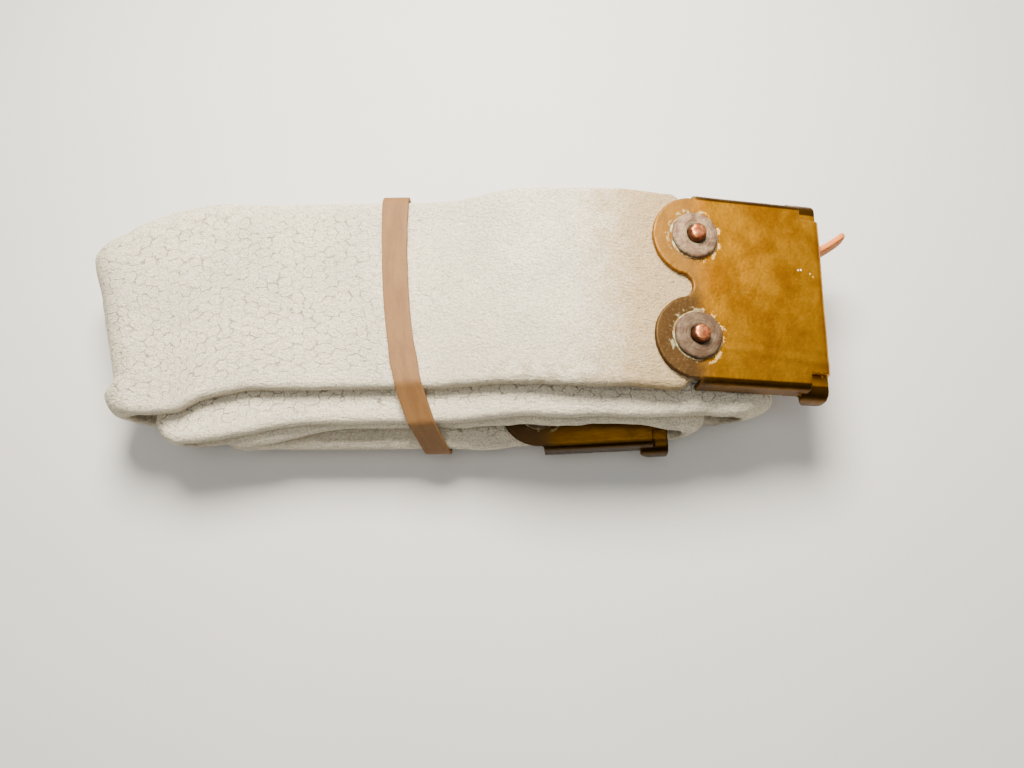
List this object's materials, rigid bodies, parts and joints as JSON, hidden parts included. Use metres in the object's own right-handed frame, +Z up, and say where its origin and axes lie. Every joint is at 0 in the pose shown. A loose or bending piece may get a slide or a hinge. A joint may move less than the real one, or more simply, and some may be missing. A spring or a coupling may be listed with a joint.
{
  "type": "web sling strap with brass ends",
  "caption": "Whitened cotton web sling strap, folded flat into a coil and held by a rubber band, with a riveted stamped brass claw end at each end of the webbing.",
  "frame": {"origin": "on the flat underside of the lowest pass, below the centre line of the top pass, where the inner brass end's rivets lie a few millimetres further along X", "axes": "+X along the folded strap towards the upper brass end, +Y across it away from the side where the passes stick out, +Z up"},
  "size_m": [0.1268, 0.0426, 0.0254],
  "materials": {
    "webbing": "whitened cotton web, crackled, worn",
    "brass": "tarnished, scratched",
    "copper": "bright worn copper",
    "burr": "dull copper washer with pale verdigris",
    "rubber": "matt tan rubber",
    "rubber_tail": "matt pink tan rubber"
  },
  "bodies": {
    "coil": {"strap_coil": "webbing", "band_tail": "rubber_tail"},
    "upper_flap": {"strap_upper_flap": "webbing"},
    "upper_end": {"strap_upper_tip": "webbing", "upper_brass_end": "brass", "upper_rivet_far": "copper", "upper_rivet_near": "copper", "upper_burr_far": "burr", "upper_burr_near": "burr"},
    "inner_end": {"strap_inner_end": "webbing", "lower_brass_end": "brass", "lower_rivet_far": "copper", "lower_rivet_near": "copper", "lower_burr_far": "burr", "lower_burr_near": "burr"},
    "rubber_band": {"rubber_band": "rubber"}
  },
  "joints": [
    {"name": "band_slide", "type": "slide", "parent": "coil", "child": "rubber_band", "axis": [1, 0, 0], "range_m": [-0.014, 0]},
    {"name": "upper_flap_lift", "type": "hinge", "parent": "coil", "child": "upper_flap", "pos_m": [-0.01, 0, 0.01661], "axis": [0, -1, 0], "range_deg": [0, 70]},
    {"name": "upper_end_flex", "type": "hinge", "parent": "upper_flap", "child": "upper_end", "pos_m": [0.0208, -0.0018, 0.02211], "axis": [0, -1, 0], "range_deg": [0, 50]},
    {"name": "inner_end_swing", "type": "hinge", "parent": "coil", "child": "inner_end", "pos_m": [-0.0095, -0.0082, 0.00795], "axis": [0, 0, -1], "range_deg": [0, 6]}
  ]
}
